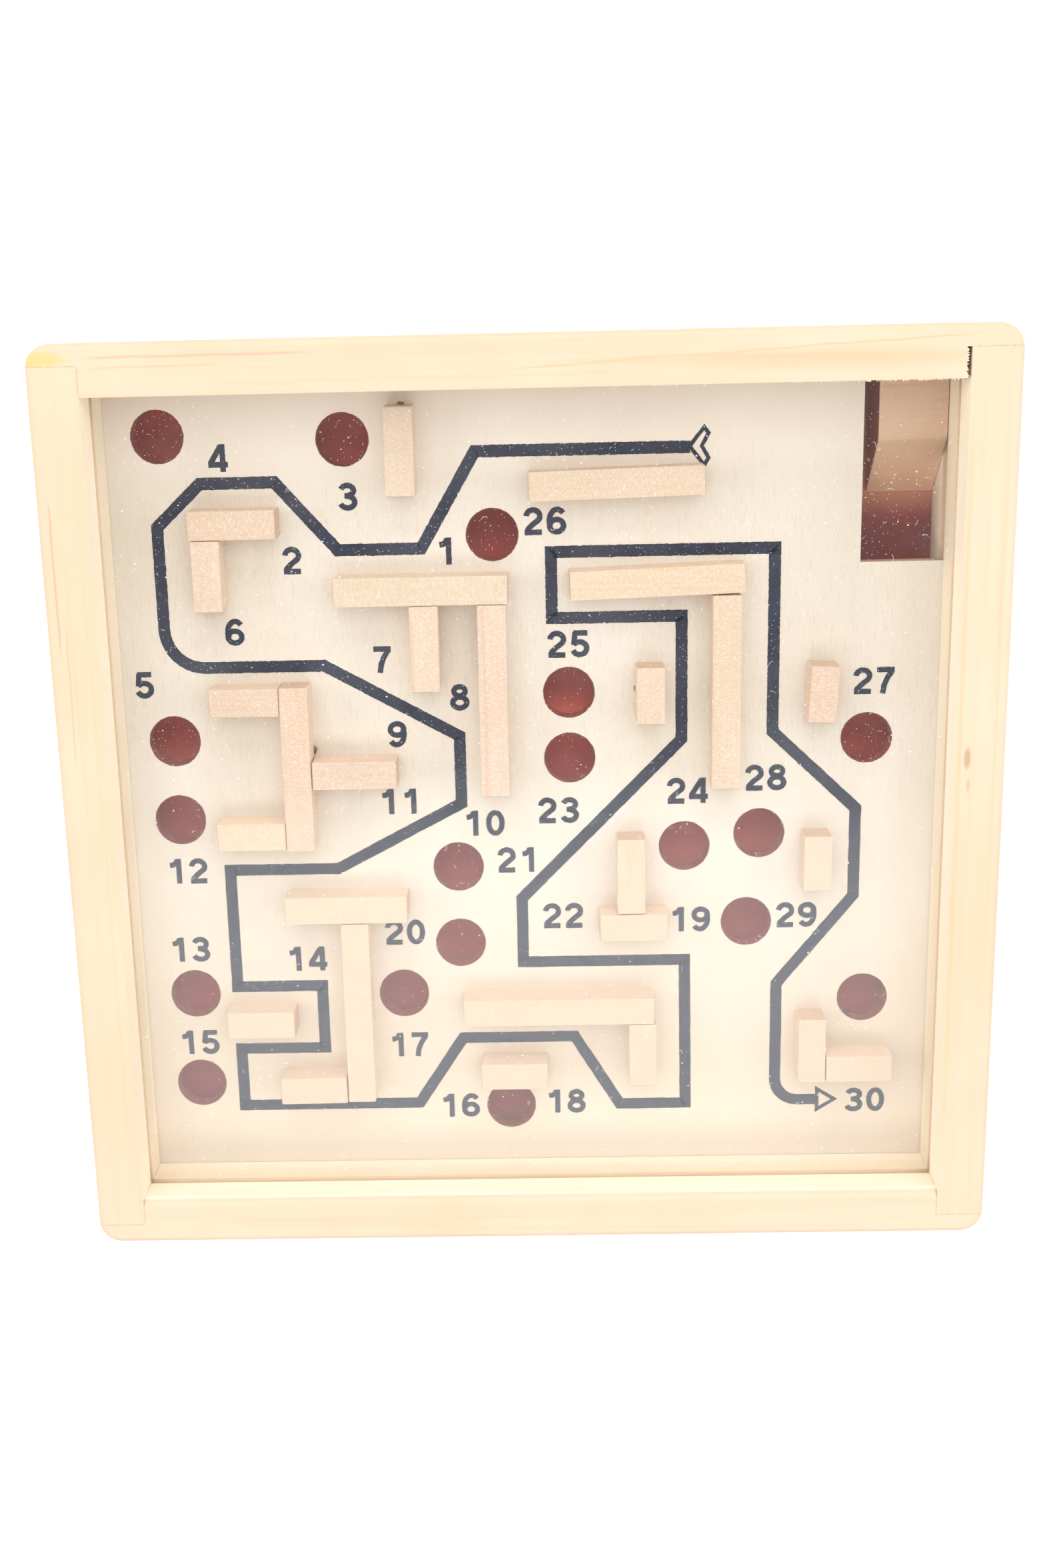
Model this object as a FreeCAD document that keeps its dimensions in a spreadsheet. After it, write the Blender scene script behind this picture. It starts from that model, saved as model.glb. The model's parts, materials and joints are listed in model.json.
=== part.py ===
import FreeCAD, Part
import Sketcher
import os
import re

# Tilt maze game: a glued wooden frame that holds a base panel, a maze board and a clear lid in its grooves.
#
# X runs to the right, Y towards the top rail, and Z up, out of the lid. The origin is the centre of the
# face that the game rests on. Lengths are in millimetres and angles in degrees.

# Each driving dimension: its alias, its value or the formula that it follows, and what it measures.
DIMENSIONS = [
    ("frame_width", 150, "outside of the frame, left to right"),
    ("frame_depth", 148.5, "outside of the frame, bottom rail to top rail"),
    ("frame_height", 30, "height of the rails and stiles"),
    ("rail_thickness", 8, "thickness of the rails and stiles"),
    ("tongue_thickness", 3.4, "rail left outside each rabbet"),
    ("corner_radius", 3.8, "sanded outer corners, in plan"),
    ("edge_radius", 1.1, "sanded outer long edges"),
    ("joint_gap", 0.7, "open joint between the top rail and the right stile"),
    ("eased_radius", 1.6, "eased inner front edge of the bottom rail"),
    ("groove_depth", 2.5, "depth of the grooves for the three sheets"),
    ("groove_play", 0.1, "room around a sheet in its groove"),
    ("base_level", 2, "underside of the base panel"),
    ("base_thickness", 3, "hardboard base panel"),
    ("deck_gap", 7.5, "room for the ball under the board"),
    ("board_thickness", 3, "plywood maze board"),
    ("play_gap", 6.5, "room for the ball between board and lid"),
    ("lid_thickness", 1.5, "clear plastic lid"),
    ("hole_diameter", 8.3, "holes that the ball drops through"),
    ("notch_left", 53.7, "left edge of the notch in the board"),
    ("notch_front", 37.4, "near edge of the notch in the board"),
    ("ramp_left", 56, "left side of the return ramp"),
    ("ramp_crest", 56.3, "where the ramp starts to drop"),
    ("ramp_foot", 47.5, "where the slope meets the deck"),
    ("bevel_run", 1.1, "length of the bevel on the ramp's crest"),
    ("bevel_drop", 0.4, "height of that bevel"),
    ("strip_width", 4.6, "width of the maze walls"),
    ("strip_height", 5.5, "height of the maze walls"),
    ("ball_diameter", 6, "steel ball"),
    ("ball_lane", 61.5, "where the ball lies, towards the right"),
    ("ball_play", 0.4, "from the resting ball to the bottom rail"),
    ("ball_lift", 0.1, "from the resting ball to the deck"),
    ("inner_x", "=frame_width / 2 - rail_thickness", "centre to the inside face of a stile"),
    ("inner_y", "=frame_depth / 2 - rail_thickness", "centre to the inside face of a rail"),
    ("deck_level", "=base_level + base_thickness", "top of the base panel"),
    ("board_level", "=deck_level + deck_gap", "underside of the board"),
    ("board_top", "=board_level + board_thickness", "face of the board"),
    ("lid_level", "=board_top + play_gap", "underside of the lid"),
    ("sheet_x", "=inner_x + groove_depth - groove_play", "centre to the sides of the three sheets"),
    ("sheet_y", "=inner_y + groove_depth - groove_play", "centre to the ends of the three sheets"),
]

# Middles of the holes in the board.
HOLES = [
    (-58.5, 59.5), (-29, 58.5), (-5.5, 43), (6.5, 17), (6.5, 6), (55.5, 8.5),
    (-59, 10), (-59, -3.5), (-58.5, -34.5), (-58.5, -51),
    (38, -7.5), (25.5, -9.5), (36, -23), (56, -37),
    (-12.5, -12.5), (-12.5, -26), (-22.5, -35), (-4.5, -56),
]

# Walls of the maze: middle of the strip, its length, and its angle from +X. They are glued by hand,
# so some of them stand a little askew.
WALLS = [
    (-19.7, 56.7, 14, 90), (-46.7, 45.8, 14, 0), (-51.1, 37.7, 11.4, 90),
    (-17.1, 34.8, 28, 0), (-16.7, 25.4, 14, 90), (-5.8, 16.6, 31.6, 90),
    (-46.4, 17.2, 11.4, 0), (-38.3, 5.8, 27.6, 90), (-28.9, 4.8, 13.9, 0), (-46.4, -5.4, 11.4, 0),
    (-31.3, -18.3, 20.5, 0), (-30, -36.8, 32.1, 90), (-46.7, -38.6, 11.5, 0), (-38.2, -50.7, 11.4, 0.5),
    (4, -37, 32.4, 0), (18.2, -45, 11.2, 90), (-3.7, -48.6, 11.4, 0),
    (16.4, -13.3, 12.9, 90), (16.8, -22.2, 11.4, 0), (47.2, -11.6, 9.5, 90),
    (46.9, -44.8, 11.5, 90), (55, -48.1, 11.3, 0),
    (14.4, 51.1, 27.8, 1.2), (20.8, 35.5, 28, 1.6), (31.9, 17.3, 31.8, 90),
    (19.7, 17.1, 9.4, 90), (47.6, 16.8, 9.4, 87),
]

V = FreeCAD.Vector
# How nearly a face's normal or an edge's direction has to match an axis to count as lying along it.
ALONG = 0.9


def wall_name(number):
    return f"wall_{number:02d}"


def make_sheet(doc):
    """The spreadsheet of driving dimensions, with the length of each wall after them."""
    lengths = [(f"{wall_name(i)}_length", length, f"length of wall {i}")
               for i, (x, y, length, angle) in enumerate(WALLS, start=1)]
    sheet = doc.addObject("Spreadsheet::Sheet", "Dimensions")
    for row, (alias, value, meaning) in enumerate(DIMENSIONS + lengths, start=1):
        sheet.set(f"A{row}", meaning)
        sheet.set(f"B{row}", str(value))
        sheet.setAlias(f"B{row}", alias)
    doc.recompute()


def formula(text):
    """Points every alias in a formula at the spreadsheet."""
    return re.sub(r"[a-z]+(_[a-z0-9]+)+", r"Dimensions.\g<0>", str(text))


def number(doc, text):
    """What a formula comes to."""
    return float(doc.Dimensions.evalExpression(formula(text)))


def bind(thing, formulas):
    """Binds properties to formulas."""
    for name, text in formulas.items():
        thing.setExpression(name, formula(text))


def block(doc, name, size, corner):
    """A box whose size and lowest corner are formulas."""
    thing = doc.addObject("Part::Box", name)
    bind(thing, dict(zip(("Length", "Width", "Height"), size)))
    bind(thing, dict(zip(("Placement.Base.x", "Placement.Base.y", "Placement.Base.z"), corner)))
    return thing


def cut(doc, name, base, tools):
    """The base with every tool taken out of it."""
    waste = doc.addObject("Part::MultiFuse", f"{name}_waste")
    waste.Shapes = tools
    thing = doc.addObject("Part::Cut", name)
    thing.Base = base
    thing.Tool = waste
    return thing


def new_sketch(body, plane, name):
    """An empty sketch on one of the body's own origin planes."""
    sketch = body.newObject("Sketcher::SketchObject", name)
    origin_plane = next(f for f in body.Origin.OriginFeatures if f.Role == plane)
    sketch.AttachmentSupport = [(origin_plane, "")]
    sketch.MapMode = "FlatFace"
    return sketch


def place_point(sketch, geometry, point, formulas):
    """Ties a point of the sketch to its place from the origin."""
    for kind, text in zip(("DistanceX", "DistanceY"), formulas):
        value = number(sketch.Document, text)
        index = sketch.addConstraint(Sketcher.Constraint(kind, -1, 1, geometry, point, value))
        sketch.setExpression(f"Constraints[{index}]", formula(text))


def add_outline(sketch, corners):
    """A closed outline of straight lines through corners given as formulas."""
    places = [V(number(sketch.Document, x), number(sketch.Document, y), 0) for x, y in corners]
    lines = [sketch.addGeometry(Part.LineSegment(a, b)) for a, b in zip(places, places[1:] + places[:1])]
    for line, following in zip(lines, lines[1:] + lines[:1]):
        sketch.addConstraint(Sketcher.Constraint("Coincident", line, 2, following, 1))
    for line, corner in zip(lines, corners):
        place_point(sketch, line, 1, corner)


def add_circles(sketch, middles, diameter):
    """Circles at the given middles, all of one diameter."""
    for x, y in middles:
        radius = number(sketch.Document, diameter) / 2
        circle = sketch.addGeometry(Part.Circle(V(x, y, 0), V(0, 0, 1), radius))
        place_point(sketch, circle, 3, (x, y))
        index = sketch.addConstraint(Sketcher.Constraint("Diameter", circle, 2 * radius))
        sketch.setExpression(f"Constraints[{index}]", formula(diameter))


def centred(half_width, half_depth):
    """Corners of a rectangle round the origin."""
    return [(f"-{half_width}", f"-{half_depth}"), (half_width, f"-{half_depth}"),
            (half_width, half_depth), (f"-{half_width}", half_depth)]


def pad(body, sketch, name, length):
    feature = body.newObject("PartDesign::Pad", name)
    feature.Profile = sketch
    bind(feature, {"Length": length})
    return feature


def sheet_body(doc, name, level, thickness):
    """A sheet that fills the frame's inside and reaches into its grooves."""
    body = doc.addObject("PartDesign::Body", name)
    outline = new_sketch(body, "XY_Plane", f"{name}_outline")
    add_outline(outline, centred("sheet_x", "sheet_y"))
    pad(body, outline, f"{name}_pad", thickness)
    bind(body, {"Placement.Base.z": level})
    return body


def make_sanded_form(doc):
    """The outside of the glued frame after sanding, from which its four pieces take their outer faces."""
    body = doc.addObject("PartDesign::Body", "sanded_form")
    outline = new_sketch(body, "XY_Plane", "sanded_form_outline")
    add_outline(outline, centred("frame_width / 2", "frame_depth / 2"))
    form = pad(body, outline, "sanded_form_pad", "frame_height")
    doc.recompute()

    edges = enumerate(form.Shape.Edges, start=1)
    upright = [f"Edge{i}" for i, edge in edges if abs(edge.tangentAt(edge.FirstParameter).z) > ALONG]
    corners = body.newObject("PartDesign::Fillet", "sanded_corners")
    corners.Base = (form, upright)
    bind(corners, {"Radius": "corner_radius"})
    doc.recompute()

    faces = enumerate(corners.Shape.Faces, start=1)
    ends = [f"Face{i}" for i, face in faces if abs(face.normalAt(0, 0).z) > ALONG]
    softened = body.newObject("PartDesign::Fillet", "sanded_edges")
    softened.Base = (corners, ends)
    bind(softened, {"Radius": "edge_radius"})
    doc.recompute()
    return body


def grooves():
    """Level and height of each groove round the frame's inside."""
    return [(f"{sheet}_level - groove_play", f"{sheet}_thickness + 2 * groove_play")
            for sheet in ("base", "board", "lid")]


def make_rail(doc, side, form):
    """A rail across the full width. A rabbet at each end takes the end of a stile."""
    name = f"rail_{side}"
    far = side == "top"
    blank_front = "inner_y" if far else "-frame_depth / 2"
    rabbet_front = "inner_y" if far else "tongue_thickness - frame_depth / 2"
    groove_front = "inner_y" if far else "-inner_y - groove_depth"
    depth = "rail_thickness - tongue_thickness"
    blank = block(doc, f"{name}_blank", ("frame_width", "rail_thickness", "frame_height"),
                  ("-frame_width / 2", blank_front, 0))
    if not far:
        blank = ease_inner_edge(doc, f"{name}_eased", blank)
    gap = "joint_gap" if far else "0"
    tools = [block(doc, f"{name}_rabbet_{end}", (f"rail_thickness + {extra}", depth, "frame_height"),
                   (left, rabbet_front, 0))
             for end, left, extra in (("left", "-frame_width / 2", "0"), ("right", f"inner_x - {gap}", gap))]
    tools += [block(doc, f"{name}_groove_{i}", ("frame_width", "groove_depth", height),
                    ("-frame_width / 2", groove_front, level))
              for i, (level, height) in enumerate(grooves(), start=1)]
    return finish_frame_piece(doc, name, blank, tools, form)


def make_stile(doc, side, form):
    """A stile between the tongues of the two rails."""
    name = f"stile_{side}"
    right = side == "right"
    front = "tongue_thickness - frame_depth / 2"
    length = "frame_depth - 2 * tongue_thickness"
    groove_left = "inner_x" if right else "-inner_x - groove_depth"
    blank = block(doc, f"{name}_blank", ("rail_thickness", length, "frame_height"),
                  ("inner_x" if right else "-frame_width / 2", front, 0))
    tools = [block(doc, f"{name}_groove_{i}", ("groove_depth", length, height), (groove_left, front, level))
             for i, (level, height) in enumerate(grooves(), start=1)]
    return finish_frame_piece(doc, name, blank, tools, form)


def ease_inner_edge(doc, name, blank):
    """Rounds the edge of the bottom rail that faces the lid."""
    doc.recompute()
    level, inside = number(doc, "frame_height"), number(doc, "-inner_y")
    middles = [edge.CenterOfMass for edge in blank.Shape.Edges]
    distances = [abs(middle.z - level) + abs(middle.y - inside) for middle in middles]
    nearest = distances.index(min(distances)) + 1
    radius = number(doc, "eased_radius")
    eased = doc.addObject("Part::Fillet", name)
    eased.Base = blank
    eased.Edges = [(nearest, radius, radius)]
    return eased


def finish_frame_piece(doc, name, blank, tools, form):
    """Saws the rabbets and grooves out of the blank and sands its outside."""
    sawn = cut(doc, f"{name}_sawn", blank, tools)
    piece = doc.addObject("Part::Common", name)
    piece.Base = sawn
    piece.Tool = form
    return piece


def make_board(doc):
    """The plywood board, with its holes and the notch over the return ramp."""
    body = doc.addObject("PartDesign::Body", "maze_board")
    outline = new_sketch(body, "XY_Plane", "maze_board_outline")
    corners = [("-sheet_x", "-sheet_y"), ("sheet_x", "-sheet_y"), ("sheet_x", "notch_front"),
               ("notch_left", "notch_front"), ("notch_left", "sheet_y"), ("-sheet_x", "sheet_y")]
    add_outline(outline, corners)
    pad(body, outline, "maze_board_pad", "board_thickness")
    circles = new_sketch(body, "XY_Plane", "maze_board_circles")
    add_circles(circles, HOLES, "hole_diameter")
    doc.recompute()
    pocket = body.newObject("PartDesign::Pocket", "maze_board_holes")
    pocket.Profile = circles
    pocket.Type = "ThroughAll"
    pocket.Reversed = True
    bind(body, {"Placement.Base.z": "board_level"})
    return body


def make_ramp(doc):
    """The wedge that leads the ball from the deck back up to the board."""
    body = doc.addObject("PartDesign::Body", "return_ramp")
    profile = new_sketch(body, "YZ_Plane", "return_ramp_profile")
    add_outline(profile, [
        ("ramp_foot", "deck_level"), ("inner_y", "deck_level"), ("inner_y", "board_top"),
        ("ramp_crest + bevel_run", "board_top"), ("ramp_crest", "board_top - bevel_drop")])
    pad(body, profile, "return_ramp_pad", "inner_x - ramp_left")
    bind(body, {"Placement.Base.x": "ramp_left"})
    return body


def make_wall(doc, name, wall):
    """One strip of the maze, glued flat on the board."""
    x, y, length, angle = wall
    strip = doc.addObject("Part::Box", name)
    bind(strip, {"Length": f"{name}_length", "Width": "strip_width", "Height": "strip_height"})
    turn = FreeCAD.Rotation(V(0, 0, 1), angle)
    corner = V(x, y, 0) - turn.multVec(V(length / 2, number(doc, "strip_width") / 2, 0))
    strip.Placement = FreeCAD.Placement(corner, turn)
    bind(strip, {"Placement.Base.z": "board_top"})
    return strip


def make_ball(doc):
    """The ball at rest on the deck, against the bottom rail and in line with the return ramp."""
    ball = doc.addObject("Part::Sphere", "steel_ball")
    bind(ball, {
        "Radius": "ball_diameter / 2",
        "Placement.Base.x": "ball_lane",
        "Placement.Base.y": "ball_diameter / 2 + ball_play - inner_y",
        "Placement.Base.z": "deck_level + ball_diameter / 2 + ball_lift"})
    return ball


def check(doc, pieces):
    """Stops before anything is written if an object failed or a piece has no sound solid."""
    failed = [thing.Name for thing in doc.Objects if {"Invalid", "Error"} & set(thing.State)]
    sound = [p for p in pieces if not p.Shape.isNull() and p.Shape.isValid() and len(p.Shape.Solids) == 1]
    unsound = [p.Label for p in pieces if p not in sound]
    if failed or unsound:
        raise RuntimeError(f"failed objects {failed}, unsound pieces {unsound}")
    board = next(p for p in pieces if p.Label == "maze_board")
    circles = [edge for edge in board.Shape.Edges if isinstance(edge.Curve, Part.Circle)]
    if len(circles) < 2 * len(HOLES):
        raise RuntimeError("the board's holes were not cut")


def main():
    doc = FreeCAD.newDocument("tilt_maze")
    make_sheet(doc)
    form = make_sanded_form(doc)
    pieces = [make_rail(doc, "top", form), make_rail(doc, "bottom", form)]
    pieces += [make_stile(doc, "left", form), make_stile(doc, "right", form)]
    pieces.append(sheet_body(doc, "base_panel", "base_level", "base_thickness"))
    pieces.append(sheet_body(doc, "clear_lid", "lid_level", "lid_thickness"))
    pieces.append(make_board(doc))
    pieces.append(make_ramp(doc))
    pieces += [make_wall(doc, wall_name(i), wall) for i, wall in enumerate(WALLS, start=1)]
    pieces.append(make_ball(doc))
    doc.recompute()
    check(doc, pieces)
    os.makedirs("parts", exist_ok=True)
    for piece in pieces:
        piece.Shape.exportStep(f"parts/{piece.Label}.step")
        print(piece.Label, round(piece.Shape.Volume, 1))


main()
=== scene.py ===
import bmesh
import bpy
import json
import math
import random
from mathutils import Matrix, Vector


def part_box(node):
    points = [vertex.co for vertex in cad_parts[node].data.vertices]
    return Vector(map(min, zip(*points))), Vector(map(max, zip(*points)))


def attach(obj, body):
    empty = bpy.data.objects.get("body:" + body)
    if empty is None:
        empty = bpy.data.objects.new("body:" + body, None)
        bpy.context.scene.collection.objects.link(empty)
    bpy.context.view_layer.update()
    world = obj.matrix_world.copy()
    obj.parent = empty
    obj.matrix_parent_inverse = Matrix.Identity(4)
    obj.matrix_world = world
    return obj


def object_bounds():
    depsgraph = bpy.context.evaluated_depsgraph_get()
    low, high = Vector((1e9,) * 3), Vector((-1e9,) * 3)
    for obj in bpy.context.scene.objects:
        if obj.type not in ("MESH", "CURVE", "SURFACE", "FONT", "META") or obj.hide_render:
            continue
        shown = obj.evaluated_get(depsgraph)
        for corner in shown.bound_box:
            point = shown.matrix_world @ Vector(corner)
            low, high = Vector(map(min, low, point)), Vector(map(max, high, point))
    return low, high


# Looks of the tilt maze game: woods, ink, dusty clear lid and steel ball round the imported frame.
#
# Blender works in metres and the maze is drawn in millimetres, so MM turns one into the other. X runs to
# the right, Y towards the top rail and Z up, out of the lid.

MM = 0.001

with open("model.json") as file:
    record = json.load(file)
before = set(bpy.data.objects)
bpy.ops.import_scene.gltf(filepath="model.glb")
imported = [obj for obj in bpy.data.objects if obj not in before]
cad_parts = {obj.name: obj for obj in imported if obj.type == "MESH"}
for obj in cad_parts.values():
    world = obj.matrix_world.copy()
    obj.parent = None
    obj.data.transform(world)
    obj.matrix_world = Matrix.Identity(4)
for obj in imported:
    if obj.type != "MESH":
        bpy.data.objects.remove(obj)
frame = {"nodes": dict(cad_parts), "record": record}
cad_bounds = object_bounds()
nodes = frame["nodes"]

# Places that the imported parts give.
BOARD_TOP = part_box("maze_board")[1].z
BOARD_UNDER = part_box("maze_board")[0].z
LID_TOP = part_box("clear_lid")[1].z
LID_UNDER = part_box("clear_lid")[0].z
FRAME_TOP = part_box("rail_top")[1].z
RAMP_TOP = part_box("return_ramp")[1].z
INNER_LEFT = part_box("stile_left")[1].x
INNER_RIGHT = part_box("stile_right")[0].x
INNER_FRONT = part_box("rail_bottom")[1].y
INNER_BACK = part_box("rail_top")[0].y
TONGUE_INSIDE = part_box("stile_left")[1].y

# The photo's camera: where it stands, and the turns in degrees that line the world up with it. The lens's
# length and shift are shares of the picture's height.
EYE = Vector((2.43, 75.0, 316.55)) * MM
TURNS = (15.332, 0.899, -1.277)
LENS_SHARE = 1.184779
SHIFT = (0.00952381, 0.03354592)
SENSOR = 36.0

X, Y, Z = 0, 1, 2


# ---------------------------------------------------------------- finishes

class Finish:
    """A procedural material. Its methods add nodes, and give back the socket that carries the result."""

    def __init__(self, name, roughness=0.6, specular=0.35):
        self.material = bpy.data.materials.new(name)
        self.material.use_nodes = True
        self.tree = self.material.node_tree
        self.shader = self.tree.nodes["Principled BSDF"]
        self.shader.inputs["Roughness"].default_value = roughness
        self.shader.inputs["Specular IOR Level"].default_value = specular
        self.place = self.add("TexCoord").outputs["Object"]

    def add(self, kind, inputs=None, **settings):
        node = self.tree.nodes.new("ShaderNode" + kind)
        for key, value in settings.items():
            setattr(node, key, value)
        for key, value in (inputs or {}).items():
            self.give(node.inputs[key], value)
        return node

    def give(self, socket, value):
        if isinstance(value, bpy.types.NodeSocket):
            self.tree.links.new(value, socket)
        else:
            socket.default_value = value

    def mapped(self, per_mm, shift=(0, 0, 0), turn=(0, 0, 0)):
        """The place on the object in millimetres, times per_mm along each axis."""
        scale = [value / MM for value in per_mm]
        return self.add("Mapping", {"Vector": self.place, "Location": shift, "Rotation": turn,
                                    "Scale": scale}).outputs[0]

    def noise(self, vector, scale=1.0, detail=3.0, roughness=0.5, distortion=0.0):
        return self.add("TexNoise", {"Vector": vector, "Scale": scale, "Detail": detail,
                                     "Roughness": roughness, "Distortion": distortion}).outputs["Fac"]

    def range(self, value, low, high, to_low=0.0, to_high=1.0):
        """to_low at low and to_high at high, with a soft start and end. low may be the larger of the two."""
        node = self.add("MapRange", {"Value": value, "From Min": low, "From Max": high,
                                     "To Min": to_low, "To Max": to_high}, interpolation_type="SMOOTHSTEP")
        return node.outputs[0]

    def math(self, operation, first, second=0.0, third=0.0):
        return self.add("Math", {0: first, 1: second, 2: third}, operation=operation).outputs[0]

    def away(self, value, middle):
        """How far a value is from a middle, either way."""
        return self.math("ABSOLUTE", self.math("SUBTRACT", value, middle))

    def mix(self, factor, first, second):
        """One colour into another. A Mix node has its colours at inputs 6 and 7, and at output 2."""
        return self.add("Mix", {0: factor, 6: first, 7: second}, data_type="RGBA").outputs[2]

    def tint(self, colour, tone, where, strength):
        """The colour with another tone over it, from none of it where the mask where is 0 to strength of it
        where the mask is 1."""
        return self.mix(self.math("MULTIPLY", where, strength), colour, tone)

    def axes(self):
        """The place on the object in millimetres, as three sockets."""
        return self.add("SeparateXYZ", {0: self.mapped((1, 1, 1))}).outputs

    def facing(self, axis):
        """How far the surface faces along the axis, from -1 to 1."""
        normal = self.add("NewGeometry").outputs["True Normal"]
        return self.add("SeparateXYZ", {0: normal}).outputs[axis]

    def spot(self, centre, reach, softness=0.5):
        """1 inside an ellipsoid round centre, falling to 0 at its edge. Millimetres."""
        scale = [1 / (r * MM) for r in reach]
        shift = [-c / r for c, r in zip(centre, reach)]
        vector = self.add("Mapping", {"Vector": self.place, "Location": shift, "Scale": scale}).outputs[0]
        distance = self.add("VectorMath", {0: vector}, operation="LENGTH").outputs["Value"]
        return self.range(distance, 1.0, 1.0 - softness)

    def line(self, along, across, start, slope, width, span, wander=0.3):
        """A thin grain line: across = start + slope * along, wandering a little, within the span."""
        place = self.axes()
        drift = self.noise(self.mapped([0.08 if axis == along else 0.0 for axis in range(3)]), detail=2)
        middle = self.math("MULTIPLY_ADD", place[along], slope, start)
        swing = self.math("MULTIPLY", self.math("SUBTRACT", drift, 0.5), 2 * wander)
        thin = self.range(self.away(place[across], self.math("ADD", middle, swing)), width, 0.0)
        fade = 0.15 * (span[1] - span[0])
        inside = self.math("MULTIPLY", self.range(place[along], span[0], span[0] + fade),
                           self.range(place[along], span[1], span[1] - fade))
        return self.math("MULTIPLY", thin, inside)

    def bump(self, height, strength, depth_mm):
        node = self.add("Bump", {"Height": height, "Strength": strength, "Distance": depth_mm * MM})
        self.give(self.shader.inputs["Normal"], node.outputs[0])

    def colour(self, value):
        self.give(self.shader.inputs["Base Color"], value)

    def roughness(self, value):
        self.give(self.shader.inputs["Roughness"], value)


def rgba(red, green, blue):
    return (red, green, blue, 1.0)


def stretched(along, across_scale, along_scale):
    return [along_scale if axis == along else across_scale for axis in range(3)]


def pine(name, along, seed, marks=()):
    """Planed pale softwood. Its rings run along the piece, with fine fibres and a few pink streaks.
    marks are functions that take the finish and its colour, and give the colour with a knot or a line."""
    finish = Finish(name, specular=0.3)
    shift = (seed * 3.1, seed * 5.7, seed * 2.3)
    rings_place = finish.mapped(stretched(along, 1.0, 0.035), shift)
    bend = finish.noise(finish.mapped(stretched(along, 0.11, 0.012), shift), detail=2)
    rings = finish.add("TexWave", {
        "Vector": rings_place, "Scale": 0.1, "Distortion": 3.0, "Detail": 2.0, "Detail Scale": 0.4,
        "Phase Offset": finish.math("MULTIPLY", bend, 9.0)},
        wave_type="RINGS", rings_direction="XYZ"[along], wave_profile="SAW").outputs["Fac"]
    late = finish.range(rings, 0.45, 1.0)
    fibres = finish.noise(finish.mapped(stretched(along, 5.0, 0.12), shift), detail=4, roughness=0.65)
    flecks = finish.noise(finish.mapped(stretched(along, 9.0, 0.9), shift), detail=2)
    streaks = finish.noise(finish.mapped(stretched(along, 0.55, 0.018), shift), detail=3)
    clouds = finish.noise(finish.mapped((0.035, 0.035, 0.035), shift), detail=2)

    colour = finish.mix(finish.range(clouds, 0.3, 0.7), rgba(0.665, 0.490, 0.345), rgba(0.700, 0.525, 0.390))
    colour = finish.tint(colour, rgba(0.65, 0.455, 0.295), late, 0.26)
    colour = finish.tint(colour, rgba(0.66, 0.43, 0.29), finish.range(streaks, 0.58, 0.74), 0.34)
    colour = finish.tint(colour, rgba(0.62, 0.47, 0.32), finish.range(fibres, 0.25, 0.75), 0.16)
    colour = finish.tint(colour, rgba(0.52, 0.36, 0.24), finish.range(flecks, 0.66, 0.78), 0.22)
    for mark in marks:
        colour = mark(finish, colour)
    # Painted light on the inside faces and on the lid's groove, against the shade there; the joint lines are
    # real dirt and glue.
    finish.colour(joint_lines(finish, fresh_groove(finish, unworn(finish, colour))))
    finish.roughness(finish.range(fibres, 0.2, 0.8, 0.50, 0.68))
    finish.bump(finish.math("ADD", fibres, finish.math("MULTIPLY", late, 0.4)), 0.35, 0.05)
    return finish.material


def unworn(finish, colour):
    """Painted light: the frame's upright inside faces are made paler, standing in for light that the lamps
    don't bring to them.
    """
    place = finish.axes()
    lit_upright = finish.range(finish.math("ABSOLUTE", finish.facing(Z)), 0.7, 0.3)
    for axis, reach in ((X, INNER_RIGHT), (Y, INNER_BACK)):
        inside = finish.range(finish.math("ABSOLUTE", place[axis]), reach / MM + 0.4, reach / MM + 0.2)
        lit_upright = finish.math("MULTIPLY", lit_upright, inside)
    return finish.tint(colour, rgba(0.96, 0.87, 0.70), lit_upright, 0.8)


def fresh_groove(finish, colour):
    """Painted light: the groove that holds the lid is made pale against the shade inside it, so that it shows
    through the lid as a pale line.
    """
    place = finish.axes()
    groove = finish.range(finish.away(place[Z], (LID_TOP + LID_UNDER) / 2 / MM), 0.98, 0.88)
    for axis, reach in ((X, INNER_RIGHT), (Y, INNER_BACK)):
        inside = finish.range(finish.math("ABSOLUTE", place[axis]), reach / MM + 2.8, reach / MM + 2.7)
        groove = finish.math("MULTIPLY", groove, inside)
    return finish.tint(colour, rgba(0.92, 0.72, 0.52), groove, 0.9)


def joint_lines(finish, colour):
    """Thin broken lines of dirt and glue where the rails and stiles meet."""
    place = finish.axes()
    across = finish.math("ABSOLUTE", place[X])
    up = finish.math("ABSOLUTE", place[Y])
    side, back, tongue = INNER_RIGHT / MM, INNER_BACK / MM, TONGUE_INSIDE / MM
    width, core = 0.14, 0.02
    shoulder_line = finish.range(finish.away(across, side), width, core)
    shoulder_line = finish.math("MULTIPLY", shoulder_line, finish.range(up, back - 0.1, back))
    shoulder_line = finish.math("MULTIPLY", shoulder_line, finish.range(up, tongue + 0.15, tongue))
    tongue_line = finish.range(finish.away(up, tongue), width, core)
    tongue_line = finish.math("MULTIPLY", tongue_line, finish.range(across, side - 0.1, side))
    breaks = finish.noise(finish.mapped((1.6, 1.6, 0.5)), detail=4, roughness=0.7)
    dirt = finish.math("MULTIPLY", finish.math("MAXIMUM", shoulder_line, tongue_line),
                       finish.range(breaks, 0.38, 0.62, 0.10, 0.62))
    return finish.mix(dirt, colour, rgba(0.33, 0.235, 0.165))


def knot(centre, reach, tone, strength, softness=0.6):
    """A patch of another tone, in millimetres."""
    def mark(finish, colour):
        return finish.tint(colour, tone, finish.spot(centre, reach, softness), strength)
    return mark


def grain_line(along, across, start, slope, width, span, tone, strength, wander=0.3):
    """One long growth line, in millimetres."""
    def mark(finish, colour):
        line = finish.line(along, across, start, slope, width, span, wander)
        return finish.tint(colour, tone, line, strength)
    return mark


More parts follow.
